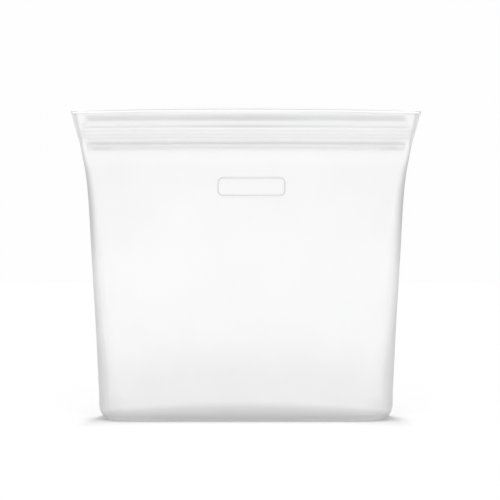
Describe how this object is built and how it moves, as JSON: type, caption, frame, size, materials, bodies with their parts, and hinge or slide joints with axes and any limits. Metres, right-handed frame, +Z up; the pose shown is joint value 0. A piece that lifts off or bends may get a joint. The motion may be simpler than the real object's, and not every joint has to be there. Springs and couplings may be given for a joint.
{
  "type": "reusable silicone bag",
  "caption": "Stand-up moulded silicone storage bag with a flat gusseted base, tapering walls, a press-to-close zip and a finger lip, stored closed.",
  "frame": {"origin": "middle of the flat face the bag stands on", "axes": "+X along the mouth, +Y from front to back, +Z up"},
  "size_m": [0.1898, 0.056, 0.1678],
  "materials": {
    "wall": "satin, frosted translucent silicone skin",
    "base": "satin, frosted translucent silicone, thicker at the rolled edge",
    "zip_band": "satin, ridged, thicker and so less clear",
    "zip_ribs": "smooth silicone",
    "rim": "satin silicone",
    "label": "raised plain outline in the same silicone"
  },
  "bodies": {
    "base": {"base_pan": "base", "left_mouth_corner": "rim", "left_side": "wall", "right_mouth_corner": "rim", "right_side": "wall"},
    "front_panel": {"front_lip": "rim", "front_rim": "rim", "front_wall": "wall", "front_zip_band": "zip_band", "front_zip_ribs": "zip_ribs", "label_frame": "label"},
    "back_panel": {"back_lip": "rim", "back_rim": "rim", "back_wall": "wall", "back_zip_band": "zip_band"},
    "front_wing_left": {"front_lip_left": "rim", "front_rim_left": "rim", "front_wall_left": "wall", "front_zip_band_left": "zip_band", "front_zip_ribs_left": "zip_ribs"},
    "front_wing_right": {"front_lip_right": "rim", "front_rim_right": "rim", "front_wall_right": "wall", "front_zip_band_right": "zip_band", "front_zip_ribs_right": "zip_ribs"},
    "back_wing_left": {"back_lip_left": "rim", "back_rim_left": "rim", "back_wall_left": "wall", "back_zip_band_left": "zip_band"},
    "back_wing_right": {"back_lip_right": "rim", "back_rim_right": "rim", "back_wall_right": "wall", "back_zip_band_right": "zip_band"}
  },
  "joints": [
    {"name": "mouth_open", "type": "hinge", "parent": "base", "child": "front_panel", "pos_m": [0, -0.028, 0.014], "axis": [1, 0, 0], "range_deg": [0, 12]},
    {"name": "back_open", "type": "hinge", "parent": "base", "child": "back_panel", "pos_m": [0, 0.028, 0.014], "axis": [-1, 0, 0], "range_deg": [0, 12]},
    {"name": "front_left_fold", "type": "hinge", "parent": "base", "child": "front_wing_left", "pos_m": [-0.0614, -0.028, 0.014], "axis": [0.1763, -0.1641, -0.9706], "range_deg": [0, 27.84]},
    {"name": "front_right_fold", "type": "hinge", "parent": "base", "child": "front_wing_right", "pos_m": [0.0614, -0.028, 0.014], "axis": [0.1763, 0.1641, 0.9706], "range_deg": [0, 27.84]},
    {"name": "back_left_fold", "type": "hinge", "parent": "base", "child": "back_wing_left", "pos_m": [-0.0614, 0.028, 0.014], "axis": [-0.1763, -0.1641, 0.9706], "range_deg": [0, 27.84]},
    {"name": "back_right_fold", "type": "hinge", "parent": "base", "child": "back_wing_right", "pos_m": [0.0614, 0.028, 0.014], "axis": [-0.1763, 0.1641, -0.9706], "range_deg": [0, 27.84]}
  ],
  "couplings": [
    {"joint": "back_open", "follows": "mouth_open", "ratio": 1},
    {"joint": "front_left_fold", "follows": "mouth_open", "ratio": 2.32},
    {"joint": "front_right_fold", "follows": "mouth_open", "ratio": 2.32},
    {"joint": "back_left_fold", "follows": "mouth_open", "ratio": 2.32},
    {"joint": "back_right_fold", "follows": "mouth_open", "ratio": 2.32}
  ]
}
